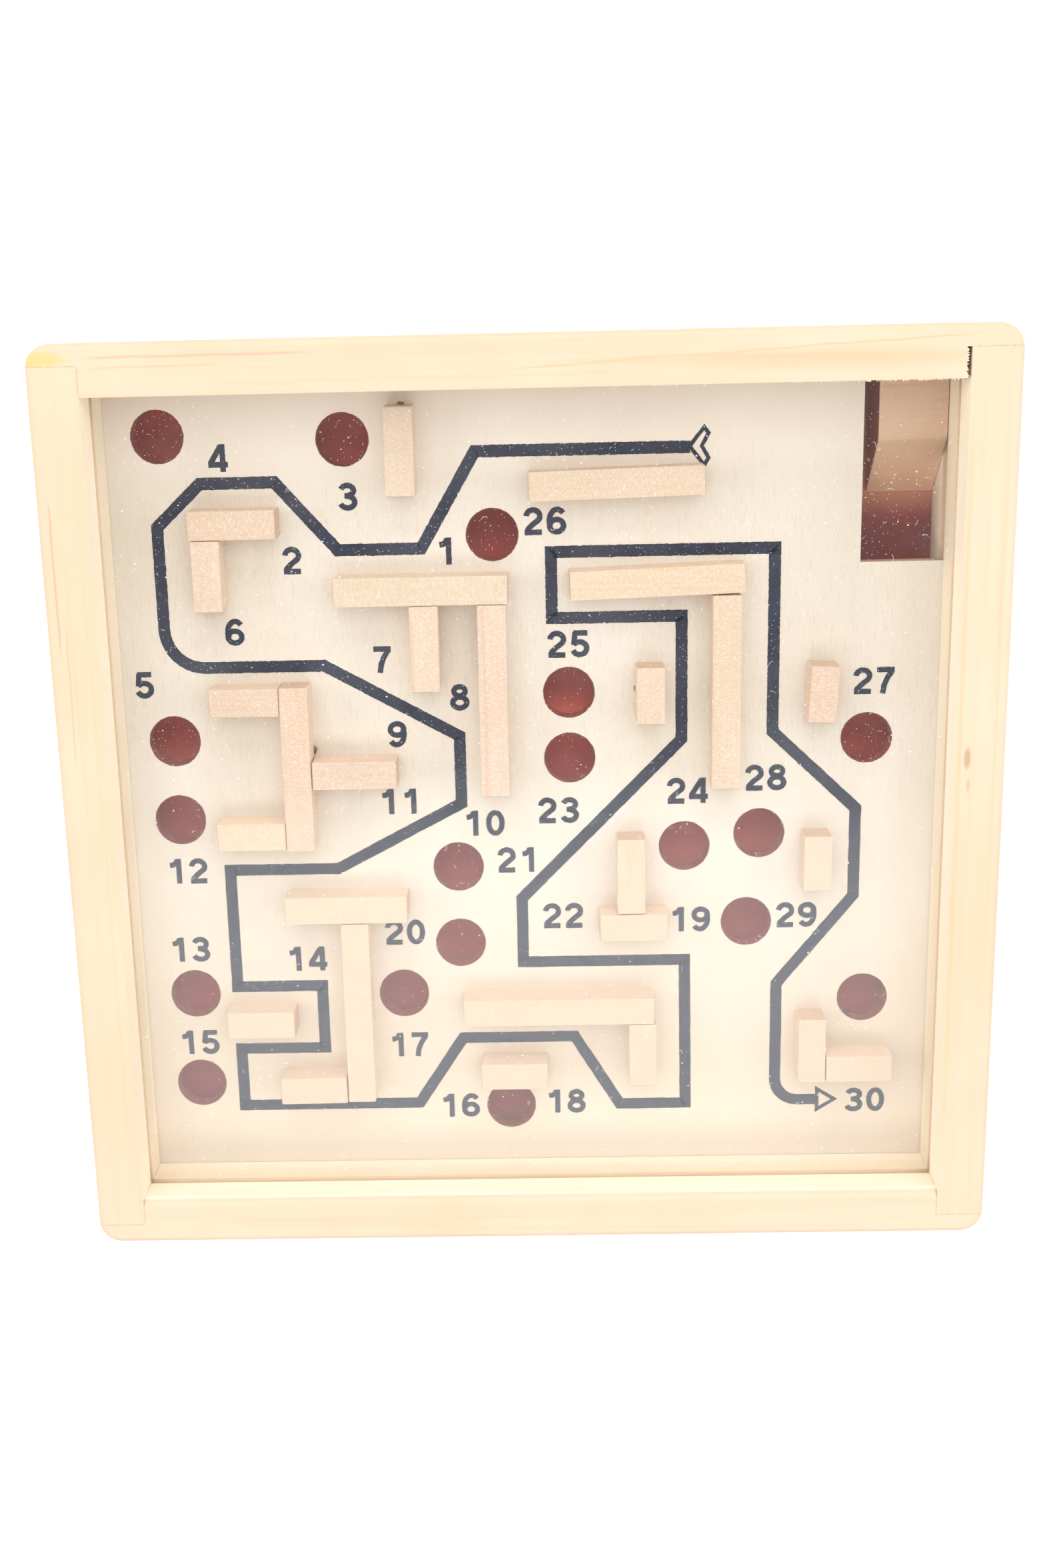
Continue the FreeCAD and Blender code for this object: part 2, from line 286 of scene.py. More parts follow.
def plywood():
    """Sanded birch ply: short fine ticks along Y on its faces, and plies on its cut edges. Its face is
    painted warmer and darker towards the bottom rail, as shade, and paler towards the top one, as light
    against the top rail's shadow."""
    finish = Finish("plywood", specular=0.3)
    ticks = finish.noise(finish.mapped((4.2, 0.42, 1.0)), detail=3, roughness=0.6)
    fine = finish.noise(finish.mapped((11.0, 1.3, 1.0)), detail=2)
    figure = finish.noise(finish.mapped((0.16, 0.012, 1.0)), detail=3, distortion=0.6)
    clouds = finish.noise(finish.mapped((0.03, 0.03, 0.03)), detail=2)
    colour = finish.mix(finish.range(clouds, 0.3, 0.7), rgba(0.645, 0.570, 0.480), rgba(0.665, 0.595, 0.520))
    colour = finish.tint(colour, rgba(0.65, 0.55, 0.43), finish.range(figure, 0.45, 0.70), 0.30)
    colour = finish.tint(colour, rgba(0.56, 0.46, 0.35), finish.range(ticks, 0.52, 0.70), 0.50)
    colour = finish.tint(colour, rgba(0.75, 0.71, 0.63), finish.range(fine, 0.56, 0.72), 0.45)
    up = finish.axes()[Y]
    # Painted shade: warmer and darker towards the bottom rail.
    colour = finish.tint(colour, rgba(0.60, 0.485, 0.365), finish.range(up, 5.0, -50.0), 0.8)
    # Painted light: paler towards the top rail, against the shadow that it casts.
    colour = finish.tint(colour, rgba(0.76, 0.67, 0.59), finish.range(up, 42.0, 64.0), 0.8)
    plies = finish.add("TexWave", {"Vector": finish.mapped((0, 0, 1)), "Scale": 0.32},
                       bands_direction="Z").outputs["Fac"]
    core = finish.mix(finish.range(plies, 0.35, 0.65), rgba(0.46, 0.29, 0.18), rgba(0.70, 0.54, 0.37))
    sawn = finish.range(finish.math("ABSOLUTE", finish.facing(Z)), 0.6, 0.4)
    # Painted light: the underside, out of sight, is given a pale warm tone so that it throws more light down
    # into the hollow under the holes.
    under = finish.range(finish.facing(Z), -0.4, -0.6)
    colour = finish.tint(colour, rgba(0.86, 0.66, 0.46), under, 0.9)
    finish.colour(finish.mix(sawn, colour, core))
    finish.roughness(finish.range(ticks, 0.2, 0.8, 0.46, 0.60))
    finish.bump(ticks, 0.25, 0.03)
    return finish.material


def strip_wood(name, along, seed, tint, stripe):
    """A sawn beech strip: slanting saw flecks across its face, fibres along it, darker end grain."""
    finish = Finish(name, specular=0.25)
    shift = (seed * 4.3, seed * 1.9, seed * 3.7)
    fibres = finish.noise(finish.mapped(stretched(along, 3.0, 0.10), shift), detail=4, roughness=0.6)
    slant = (0, 0, math.radians(28 if seed % 2 else -24))
    flecks = finish.noise(finish.mapped(stretched(1 - along, 4.5, 1.6), shift, slant),
                          detail=3, roughness=0.6)
    growth = finish.noise(finish.mapped(stretched(along, 0.75, 0.012), shift), detail=2)
    warm = rgba(0.610 * tint[0], 0.462 * tint[1], 0.335 * tint[2])
    pale = rgba(0.635 * tint[0], 0.505 * tint[1], 0.390 * tint[2])
    deep = rgba(0.55 * tint[0], 0.370 * tint[1], 0.235 * tint[2])
    colour = finish.mix(finish.range(fibres, 0.3, 0.7), warm, pale)
    colour = finish.tint(colour, deep, finish.range(growth, 0.56, 0.66), stripe)
    colour = finish.tint(colour, deep, finish.range(flecks, 0.53, 0.66), 0.42)
    colour = finish.tint(colour, rgba(0.78, 0.66, 0.53), finish.range(flecks, 0.47, 0.36), 0.45)
    # Painted shade: warmer and darker towards the bottom rail, as on the board.
    painted_shade_low = finish.range(finish.axes()[Y], 5.0, -35.0)
    colour = finish.tint(colour, rgba(0.565, 0.430, 0.305), painted_shade_low, 0.75)
    # Painted light: the strips' upright sides are made paler, standing in for light that the lamps don't
    # bring to them.
    lit_sides = finish.range(finish.math("ABSOLUTE", finish.facing(Z)), 0.6, 0.3)
    colour = finish.tint(colour, rgba(0.88, 0.69, 0.53), lit_sides, 0.55)
    ends = finish.range(finish.math("ABSOLUTE", finish.facing(along)), 0.5, 0.9)
    pores = finish.noise(finish.mapped((6, 6, 6), shift), detail=2)
    end_grain = finish.mix(finish.range(pores, 0.4, 0.7), rgba(0.66, 0.48, 0.35), rgba(0.56, 0.37, 0.24))
    finish.colour(finish.mix(ends, colour, end_grain))
    finish.roughness(finish.range(flecks, 0.3, 0.7, 0.55, 0.75))
    finish.bump(finish.math("ADD", flecks, fibres), 0.4, 0.06)
    return finish.material


def ramp_wood():
    """The ramp: smooth brown softwood with a few lines from side to side. Down its slope it is painted
    darker, as shade, then paler, as light against the shade under the board's edge. Its left side is dark
    red, darkest at the top."""
    finish = Finish("ramp_wood", specular=0.3)
    grain = finish.noise(finish.mapped((0.10, 2.2, 2.2)), detail=4, roughness=0.6)
    lines = finish.noise(finish.mapped((0.02, 0.9, 0.9), (7, 3, 1)), detail=2)
    along = finish.axes()[Y]
    colour = finish.mix(finish.range(grain, 0.3, 0.7), rgba(0.585, 0.400, 0.285), rgba(0.620, 0.428, 0.308))
    colour = finish.tint(colour, rgba(0.50, 0.30, 0.18), finish.range(lines, 0.60, 0.66), 0.25)
    # Painted shade: darker from the crest down the slope.
    colour = finish.tint(colour, rgba(0.50, 0.32, 0.17), finish.range(along, 59.0, 56.6), 0.22)
    # Painted light: paler further down the slope, against the shade under the board's edge.
    lit_slope = finish.range(finish.math("ADD", along, finish.math("MULTIPLY", grain, 1.2)), 58.0, 49.5)
    colour = finish.mix(lit_slope, colour, rgba(0.80, 0.50, 0.32))
    # The left side is dark red, darkest at the top.
    side = finish.range(finish.facing(X), -0.8, -0.97)
    height = finish.range(finish.axes()[Z], RAMP_TOP / MM - 7.0, RAMP_TOP / MM)
    dark_red_side = finish.mix(height, rgba(0.90, 0.28, 0.21), rgba(0.20, 0.060, 0.052))
    colour = finish.mix(side, colour, dark_red_side)
    finish.colour(colour)
    finish.roughness(finish.range(grain, 0.2, 0.8, 0.5, 0.68))
    finish.bump(grain, 0.25, 0.05)
    return finish.material


def hardboard():
    """The base: red-brown hardboard with short pressed fibres. In the chute under the notch it is painted
    darker, as shade, and paler again at the ramp's foot, as painted light."""
    finish = Finish("hardboard", roughness=0.5, specular=0.3)
    fibres = finish.noise(finish.mapped((1.6, 1.6, 1.6)), detail=5, roughness=0.7, distortion=1.2)
    clouds = finish.noise(finish.mapped((0.05, 0.05, 0.05)), detail=2)
    colour = finish.mix(finish.range(clouds, 0.3, 0.7), rgba(0.80, 0.115, 0.070), rgba(0.86, 0.150, 0.090))
    colour = finish.tint(colour, rgba(0.62, 0.070, 0.045), finish.range(fibres, 0.52, 0.75), 0.45)
    place = finish.axes()
    # Painted shade in the chute under the board's notch.
    chute_shade = finish.math("MULTIPLY", finish.range(place[X], 49.0, 53.0), finish.range(place[Y], 31.0, 37.0))
    colour = finish.tint(colour, rgba(0.13, 0.017, 0.017), chute_shade, 0.85)
    # Painted light at the ramp's foot.
    lit_foot = finish.math("MULTIPLY", chute_shade, finish.range(place[Y], 42.5, 48.5))
    colour = finish.tint(colour, rgba(0.55, 0.23, 0.14), lit_foot, 0.8)
    finish.colour(colour)
    finish.roughness(finish.range(fibres, 0.3, 0.7, 0.40, 0.60))
    finish.bump(fibres, 0.3, 0.05)
    return finish.material


def hole_edge():
    """Fibrous wood inside the drilled holes, painted dark red as shade with red light thrown up from the
    hardboard, and painted darkest at the lip.
    """
    finish = Finish("hole_edge", roughness=0.8, specular=0.15)
    fibres = finish.noise(finish.mapped((3.0, 3.0, 1.2)), detail=4, roughness=0.7)
    colour = finish.mix(finish.range(fibres, 0.3, 0.7), rgba(0.28, 0.054, 0.042), rgba(0.36, 0.076, 0.056))
    # Painted shade: a darker line at the lip.
    lip = finish.range(finish.axes()[Z], BOARD_TOP / MM - 0.2, BOARD_TOP / MM)
    finish.colour(finish.mix(lip, colour, rgba(0.15, 0.050, 0.040)))
    finish.bump(fibres, 0.6, 0.08)
    return finish.material


def ink():
    """Screen-printed blue-black ink that misses tiny pits in the wood."""
    finish = Finish("ink", roughness=0.5, specular=0.25)
    pits = finish.noise(finish.mapped((5.5, 4.5, 1.0)), detail=3, roughness=0.7)
    ticks = finish.noise(finish.mapped((9.0, 1.6, 1.0), (3, 1, 0)), detail=2)
    tone = finish.noise(finish.mapped((0.25, 0.25, 0.25)), detail=3)
    colour = finish.mix(finish.range(tone, 0.3, 0.7), rgba(0.005, 0.008, 0.026), rgba(0.011, 0.016, 0.040))
    colour = finish.tint(colour, rgba(0.06, 0.068, 0.10), finish.range(ticks, 0.56, 0.72), 0.28)
    colour = finish.tint(colour, rgba(0.42, 0.36, 0.31), finish.range(pits, 0.64, 0.72), 0.65)
    finish.colour(colour)
    finish.roughness(finish.range(tone, 0.3, 0.7, 0.38, 0.52))
    finish.bump(pits, 0.2, 0.02)
    return finish.material


def clear_lid():
    """Clear sheet: a mirror's share of gloss by angle, a thin dust film, and dust specks."""
    finish = Finish("clear_plastic")
    finish.tree.nodes.remove(finish.shader)
    edge_on = finish.add("LayerWeight", {"Blend": 0.5}).outputs["Facing"]
    mirror = finish.math("MULTIPLY_ADD", finish.math("POWER", edge_on, 5.0), 0.9, 0.032)
    clear = finish.add("BsdfTransparent", {"Color": rgba(0.995, 0.998, 0.995)})
    smears = finish.noise(finish.mapped((0.05, 0.05, 0.05)), detail=4, roughness=0.6)
    gloss = finish.add("BsdfAnisotropic", {
        "Color": rgba(1, 1, 1), "Roughness": finish.range(smears, 0.3, 0.7, 0.13, 0.21)})
    sheet = finish.add("MixShader", {0: mirror, 1: clear.outputs[0], 2: gloss.outputs[0]})

    cells = finish.add("TexVoronoi", {"Vector": finish.mapped((1, 1, 1)), "Scale": 1.9, "Randomness": 1.0})
    size = finish.add("SeparateXYZ", {0: cells.outputs["Color"]}).outputs
    reach = finish.range(size[0], 0.25, 1.0, 0.0, 0.125)
    speck = finish.math("LESS_THAN", cells.outputs["Distance"], reach)
    film = finish.range(smears, 0.35, 0.75, 0.003, 0.014)
    upper = finish.math("GREATER_THAN", finish.facing(Z), 0.5)
    specks = finish.math("MULTIPLY", speck, 0.75)
    amount = finish.math("MULTIPLY", finish.math("MAXIMUM", film, specks), upper)
    dust = finish.add("BsdfDiffuse", {"Color": rgba(0.88, 0.86, 0.83)})
    dusty = finish.add("MixShader", {0: amount, 1: sheet.outputs[0], 2: dust.outputs[0]})
    finish.give(finish.tree.nodes["Material Output"].inputs["Surface"], dusty.outputs[0])
    return finish.material


def dust_finish():
    finish = Finish("dust", roughness=0.9, specular=0.1)
    tone = finish.noise(finish.mapped((2, 2, 2)), detail=3)
    finish.colour(finish.mix(finish.range(tone, 0.3, 0.7), rgba(0.80, 0.76, 0.72), rgba(0.92, 0.90, 0.88)))
    finish.bump(tone, 0.4, 0.02)
    return finish.material


def torn_wood():
    """Torn pale fibres at the open joint."""
    finish = Finish("torn_wood", roughness=0.85, specular=0.1)
    fibres = finish.noise(finish.mapped((6.0, 2.0, 2.0)), detail=4, roughness=0.7)
    finish.colour(finish.mix(finish.range(fibres, 0.3, 0.7), rgba(0.80, 0.66, 0.50), rgba(0.95, 0.88, 0.76)))
    finish.bump(fibres, 0.6, 0.08)
    return finish.material


def dried_glue():
    finish = Finish("dried_glue", roughness=0.35, specular=0.5)
    tone = finish.noise(finish.mapped((1.5, 1.5, 1.5)), detail=3)
    finish.colour(finish.mix(finish.range(tone, 0.3, 0.7), rgba(0.10, 0.05, 0.03), rgba(0.30, 0.19, 0.11)))
    finish.roughness(finish.range(tone, 0.3, 0.7, 0.25, 0.5))
    finish.bump(tone, 0.4, 0.1)
    return finish.material


def steel():
    """Polished ball steel with faint scuffs from rolling."""
    finish = Finish("steel", roughness=0.12, specular=0.5)
    finish.shader.inputs["Metallic"].default_value = 1.0
    scuffs = finish.noise(finish.mapped((1.2, 1.2, 1.2)), detail=6, roughness=0.75, distortion=2.0)
    finish.colour(finish.mix(finish.range(scuffs, 0.4, 0.7), rgba(0.66, 0.67, 0.69), rgba(0.50, 0.50, 0.51)))
    finish.roughness(finish.range(scuffs, 0.4, 0.75, 0.08, 0.30))
    finish.bump(scuffs, 0.05, 0.01)
    return finish.material


def pale_floor():
    finish = Finish("pale_floor", roughness=0.8, specular=0.1)
    tone = finish.noise(finish.mapped((0.004, 0.004, 0.004)), detail=2)
    finish.colour(finish.mix(finish.range(tone, 0.3, 0.7), rgba(0.90, 0.90, 0.90), rgba(0.93, 0.93, 0.925)))
    return finish.material


def paint(thing, material):
    thing.data.materials.clear()
    thing.data.materials.append(material)


# ---------------------------------------------------------------- the CAD parts

def soften(thing, width_mm):
    """Joins the mesh along its sharp edges and rounds them a little, as sandpaper and handling do."""
    weld = thing.modifiers.new("weld", "WELD")
    weld.merge_threshold = 0.001 * MM
    bevel = thing.modifiers.new("soft_edges", "BEVEL")
    bevel.width = width_mm * MM
    bevel.segments = 2
    bevel.limit_method = "ANGLE"
    bevel.angle_limit = math.radians(50)
    bevel.harden_normals = False
    normals = thing.modifiers.new("even_normals", "WEIGHTED_NORMAL")
    normals.keep_sharp = False


def paint_frame():
    """The four pieces of the frame, with the marks of their own timber."""
    red = rgba(0.56, 0.26, 0.16)
    orange = rgba(0.66, 0.43, 0.25)
    amber = rgba(0.70, 0.47, 0.15)
    brown = rgba(0.38, 0.24, 0.13)
    lists = {
        "rail_top": (X, 3, [
            knot((-74.5, 71.9, 30), (8.0, 1.7, 6), amber, 0.75),
            knot((46, 69.6, 30), (34, 2.6, 6), rgba(0.62, 0.41, 0.24), 0.6, 0.9),
            knot((-20, 72.0, 30), (60, 1.8, 6), rgba(0.64, 0.44, 0.29), 0.35, 0.9),
            grain_line(X, Y, 72.3, 0.004, 0.35, (-68, -30), red, 0.40),
            grain_line(X, Y, 71.2, 0.010, 0.30, (-66, -44), red, 0.30),
            grain_line(X, Y, 69.2, 0.052, 0.28, (-6, 72), orange, 0.85, 0.6),
            grain_line(X, Y, 68.2, 0.006, 0.55, (-50, 20), orange, 0.30, 0.5),
        ]),
        "rail_bottom": (X, 8, [
            grain_line(X, Y, -70.2, 0.004, 0.5, (-60, 40), orange, 0.28, 0.4),
            grain_line(X, Y, -72.4, -0.006, 0.35, (-20, 66), orange, 0.25, 0.4),
        ]),
        "stile_left": (Y, 5, [
            grain_line(Y, X, -73.0, 0.0, 0.30, (26, 52), red, 0.55, 0.3),
            grain_line(Y, X, -72.2, 0.010, 0.25, (8, 34), red, 0.35, 0.3),
            grain_line(Y, X, -68.6, 0.0, 0.45, (-60, 60), orange, 0.30, 0.3),
        ]),
        "stile_right": (Y, 11, [
            grain_line(Y, X, 67.6, 0.0, 0.75, (-64, 66), orange, 0.55, 0.15),
            grain_line(Y, X, 73.2, 0.002, 0.30, (-30, 60), orange, 0.35, 0.3),
            knot((68.9, 8.0, 30), (0.75, 2.4, 2), brown, 0.65),
            knot((69.2, 3.6, 30), (0.45, 1.5, 2), brown, 0.40),
        ]),
    }
    for name, (along, seed, marks) in lists.items():
        paint(nodes[name], pine(f"pine_{name}", along, seed, marks))
        soften(nodes[name], width_mm=0.07)


# How far a strip's red, green and blue may lie from the usual tone.
TINT_SPREAD = ((-0.01, 0.02), (-0.012, 0.012), (-0.03, 0.03))
# Strips cut from pinker wood than the rest, and what that does to their red, green and blue.
PINKER_WALLS = ("wall_02", "wall_07", "wall_08", "wall_09", "wall_14", "wall_21", "wall_27")
PINKER = (0.97, 0.92, 0.94)


def paint_walls():
    """Each strip was cut from its own piece of wood, so each has its own tint."""
    draw = random.Random(27)
    for name in sorted(n for n in nodes if n.startswith("wall_")):
        low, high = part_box(name)
        along = X if high.x - low.x > high.y - low.y else Y
        tint = [1 + draw.uniform(*spread) for spread in TINT_SPREAD]
        stripe = draw.choice((0.0, 0.15, 0.5))
        if name in PINKER_WALLS:
            tint = [share * tone for share, tone in zip(tint, PINKER)]
        paint(nodes[name], strip_wood(f"strip_{name}", along, draw.randint(1, 60), tint, stripe))
        soften(nodes[name], width_mm=0.22)


def paint_parts():
    """Every CAD part's own finish, and softened edges where the photo shows them."""
    paint_frame()
    paint_walls()
    for name, finish in (("maze_board", plywood), ("return_ramp", ramp_wood), ("base_panel", hardboard),
                         ("clear_lid", clear_lid), ("steel_ball", steel)):
        paint(nodes[name], finish())
    soften(nodes["return_ramp"], width_mm=0.2)
    soften(nodes["base_panel"], width_mm=0.15)
    nodes["steel_ball"].data.shade_smooth()


# ---------------------------------------------------------------- meshes

def piece(name, vertices, faces, material, slot, body="frame"):
    """A new piece, which rides on a body and takes the given material. Its slot is not used."""
    mesh = bpy.data.meshes.new(name)
    mesh.from_pydata([Vector(v) * MM for v in vertices], [], faces)
    mesh.materials.append(material)
    thing = bpy.data.objects.new(name, mesh)
    bpy.context.scene.collection.objects.link(thing)
    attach(thing, body)
    return thing


def arc(centre, radii, start, end, steps=14):
    """Points along part of an ellipse, from the start angle to the end angle in degrees."""
    angles = [math.radians(start + (end - start) * i / steps) for i in range(steps + 1)]
    return [(centre[0] + radii[0] * math.cos(a), centre[1] + radii[1] * math.sin(a)) for a in angles]


def rounded(points, radii):
    """A route whose corners named in radii, by their place in the list, are arcs."""
    route = []
    for i, point in enumerate(points):
        if i not in radii:
            route.append(point)
            continue
        corner, before, after = Vector(point), Vector(points[i - 1]), Vector(points[i + 1])
        back, on = (before - corner).normalized(), (after - corner).normalized()
        half = back.angle(on) / 2
        middle = corner + (back + on).normalized() * radii[i] / math.sin(half)
        first = corner + back * radii[i] / math.tan(half) - middle
        last = corner + on * radii[i] / math.tan(half) - middle
        turn = first.angle_signed(last)
        for step in range(11):
            spoke = first.copy()
            spoke.rotate(Matrix.Rotation(-turn * step / 10, 2))
            route.append(tuple(middle + spoke))
    return route


def closely(points, spacing):
    """The same route with a point at least every spacing."""
    route = [Vector(points[0])]
    for end in map(Vector, points[1:]):
        start = route[-1].copy()
        steps = max(1, math.ceil((end - start).length / spacing))
        route += [start.lerp(end, i / steps) for i in range(1, steps + 1)]
    return route


def band(points, width, level, thickness, ragged=0.0, closed=False, spacing=0.35, draw=None):
    """Vertices and faces of a flat printed band along a route, mitred at its corners."""
    route = closely([*points, points[0]] if closed else points, spacing)
    if closed:
        route.pop()
    count = len(route)
    rows = []
    for i, point in enumerate(route):
        before = route[i - 1] if closed or i else None
        after = route[(i + 1) % count] if closed or i + 1 < count else None
        runs = [(b - a).normalized() for a, b in ((before, point), (point, after)) if a and b]
        heading = sum(runs, Vector((0, 0))).normalized()
        side = Vector((-heading.y, heading.x))
        stretch = 1 / max(0.3, side.dot(Vector((-runs[0].y, runs[0].x))))
        reach = [width / 2 * stretch + (draw.gauss(0, ragged) if draw else 0) for _ in range(2)]
        rows.append((point + side * reach[0], point - side * reach[1]))
    vertices = [(p.x, p.y, z) for z in (level + thickness, level) for row in rows for p in row]
    faces = []
    under = 2 * count
    for i in range(count if closed else count - 1):
        a, b = 2 * i, 2 * ((i + 1) % count)
        faces += [(a, a + 1, b + 1, b), (under + a, under + b, under + b + 1, under + a + 1),
                  (a, b, under + b, under + a), (a + 1, under + a + 1, under + b + 1, b + 1)]
    if not closed:
        a = 2 * (count - 1)
        faces += [(0, under, under + 1, 1), (a, a + 1, under + a + 1, under + a)]
    return vertices, faces


def joined(parts):
    """Several sets of vertices and faces as one."""
    vertices, faces = [], []
    for more_vertices, more_faces in parts:
        first = len(vertices)
        vertices += more_vertices
        faces += [tuple(first + i for i in face) for face in more_faces]
    return vertices, faces


# ---------------------------------------------------------------- the print

INK_LEVEL = BOARD_TOP / MM - 0.01
INK_THICKNESS = 0.03
LINE_WIDTH = 1.95
THIN_LINE_WIDTH = 0.62

ROUTE = [
    (26.3, 56.2), (-8, 56.2), (-17, 41), (-30.5, 41), (-40.2, 52), (-52.2, 52), (-59.5, 45.2), (-59.5, 22.2),
    (-33.6, 22.2), (-11.7, 10), (-11.7, -1.5), (-32.8, -12.5), (-51.2, -12.5), (-51.2, -33.4),
    (-36.6, -33.4), (-36.6, -44.8), (-51.2, -44.8), (-51.2, -55.4), (-20.5, -55.4), (-12.6, -43.4),
    (6.7, -43.4), (14.4, -56.1), (25.8, -56.1), (25.6, -29.7), (-1.9, -29.7), (-1.9, -18.3), (25, 8.8),
    (25, 29.3), (3.9, 29.3), (3.9, 40), (40, 40), (40, 9.8), (54, -3.5), (54, -18.7), (41.3, -34.3),
    (41.3, -55.8), (48.6, -55.8),
]
ROUND_CORNERS = {7: 6.4, 35: 4.0}
START_MARK = [(26.2, 56.3), (28.5, 59.2), (29.2, 58.3), (28.1, 56.3), (29.2, 54.4), (28.5, 53.3)]
ARROW = [(48.7, -53.9), (51.7, -55.8), (48.7, -57.7)]

NUMBER_PLACES = {
    1: (-13, 40.5), 2: (-38, 39.5), 3: (-28.5, 49.5), 4: (-49, 56), 5: (-63.5, 19.5), 6: (-48, 28),
    7: (-24, 23), 8: (-11.5, 16.5), 9: (-22, 10.5), 10: (-8, -5), 11: (-22, -1), 12: (-58.5, -12.5),
    13: (-59, -26.5), 14: (-39, -28.5), 15: (-58.5, -43.5), 16: (-13.5, -56), 17: (-22, -44.5),
    18: (5, -55.5), 19: (26.5, -22.5), 20: (-22, -24), 21: (-2.5, -11.5), 22: (5, -21.5), 23: (4.5, -3),
    24: (26, 0), 25: (6.5, 25), 26: (3, 45), 27: (56.5, 18), 28: (39, 2), 29: (44.5, -22), 30: (57, -56),
}
NUMBER_HEIGHT = 4.35
# Shares of a number's height: from one digit to the next, a digit's width, and the width of its strokes.
DIGIT_ADVANCE = 0.78
DIGIT_WIDTH = 0.66
DIGIT_WEIGHT = 0.207
# The digits are this much wider than the cell that their strokes are drawn in.
DIGIT_STRETCH = 1.1


def digit_strokes(digit):
    """The strokes of a plain bold digit, in a cell one unit high."""
    six = [arc((0.335, 0.32), (0.235, 0.225), 0, 360, 24), arc((0.36, 0.5), (0.265, 0.41), 42, 212, 18)]
    return {
        "0": [arc((0.33, 0.5), (0.235, 0.41), 0, 360, 28)],
        "1": [[(0.42, 0), (0.42, 1)], [(0.11, 0.735), (0.23, 0.755), (0.33, 0.83), (0.37, 0.96)]],
        "2": [arc((0.33, 0.68), (0.23, 0.23), 178, -32) + [(0.3, 0.36), (0.15, 0.2), (0.13, 0.1)],
              [(0.04, 0.09), (0.62, 0.09)]],
        "3": [arc((0.32, 0.725), (0.215, 0.185), 165, -88), arc((0.32, 0.3), (0.24, 0.21), 88, -165),
              [(0.22, 0.53), (0.36, 0.53)]],
        "4": [[(0.49, 0), (0.49, 1)], [(0.44, 0.94), (0.08, 0.31)], [(0.0, 0.26), (0.66, 0.26)]],
        "5": [[(0.12, 0.91), (0.6, 0.91)], [(0.18, 0.95), (0.13, 0.46)],
              [(0.12, 0.5)] + arc((0.33, 0.335), (0.24, 0.245), 128, -162)],
        "6": six,
        "7": [[(0.03, 0.91), (0.63, 0.91)], [(0.56, 0.88), (0.4, 0.62), (0.29, 0.34), (0.24, 0)]],
        "8": [arc((0.33, 0.735), (0.195, 0.175), 0, 360, 24), arc((0.33, 0.3), (0.24, 0.21), 0, 360, 24)],
        "9": [[(0.66 - x, 1 - y) for x, y in stroke] for stroke in six],
    }[digit]


def print_number(number, centre, draw, material):
    """A number of one or two digits. Each stroke lies a little above the last, so no two faces meet."""
    text = str(number)
    length = (len(text) - 1) * DIGIT_ADVANCE + DIGIT_WIDTH
    parts = []
    for place, digit in enumerate(text):
        left = place * DIGIT_ADVANCE - length / 2
        for stroke in digit_strokes(digit):
            closed = len(stroke) > 2 and math.dist(stroke[0], stroke[-1]) < 0.001
            points = [(centre[0] + (left + x) * NUMBER_HEIGHT * DIGIT_STRETCH,
                       centre[1] + (y - 0.5) * NUMBER_HEIGHT) for x, y in (stroke[:-1] if closed else stroke)]
            parts.append(band(points, DIGIT_WEIGHT * NUMBER_HEIGHT, INK_LEVEL,
                              INK_THICKNESS + 0.002 * len(parts), 0.02, closed, 0.2, draw))
    return piece(f"number_{number:02d}", *joined(parts), material, "ink")


def print_maze():
    """The route, the start mark, the arrow and the numbers, each a thin layer of ink on the board."""
    material = ink()
    draw = random.Random(5)
    route = rounded(ROUTE, ROUND_CORNERS)
    piece("printed_route", *band(route, LINE_WIDTH, INK_LEVEL, INK_THICKNESS, 0.028, draw=draw),
          material, "ink")
    for name, outline in (("printed_start", START_MARK), ("printed_arrow", ARROW)):
        piece(name, *band(outline, THIN_LINE_WIDTH, INK_LEVEL, INK_THICKNESS + 0.005, 0.02, True, 0.25, draw),
              material, "ink")
    for number, centre in NUMBER_PLACES.items():
        print_number(number, centre, draw, material)


# ---------------------------------------------------------------- hole edges

def hole_places():
    """Name and middle of each drilled hole, from the openings that the record states."""
    for opening in frame["record"]["physics"]["openings"]:
        if opening["name"].startswith("hole_"):
            low, high = opening["box_m"]
            yield opening["name"], (low[0] + high[0]) / 2 / MM, (low[1] + high[1]) / 2 / MM


HOLE_RADIUS = 4.15
# How far the lip of a hole stands proud of the board, and how far it reaches out over it.
LIP_HEIGHT = 0.012
LIP_REACH = (0.07, 0.15)


def line_holes():
    """The wall of each hole, painted dark as shade, with a ragged lip that stands just proud of the board."""
    material = hole_edge()
    draw = random.Random(18)
    steps = 72
    top = BOARD_TOP / MM
    lip = top + LIP_HEIGHT
    levels = [(BOARD_UNDER / MM, 0.015), (top - 0.25, 0.02), (lip, 0.015)]
    for name, x, y in hole_places():
        rings = [(z, HOLE_RADIUS - inset - abs(draw.gauss(0, 0.012)))
                 for z, inset in levels for _ in range(steps)]
        rings += [(lip, HOLE_RADIUS + draw.uniform(*LIP_REACH)) for _ in range(steps)]
        vertices, faces = [], []
        for i, (z, radius) in enumerate(rings):
            angle = 2 * math.pi * (i % steps) / steps
            vertices.append((x + radius * math.cos(angle), y + radius * math.sin(angle), z))
        for row in range(len(levels)):
            for i in range(steps):
                a, b = row * steps + i, row * steps + (i + 1) % steps
                faces.append((b, a, a + steps, b + steps))
        # Each hole's wall and lip, painted dark as shade.
        piece(name.replace("hole_", "hole_edge_"), vertices, faces, material, "plywood")


# ---------------------------------------------------------------- dust on the lid

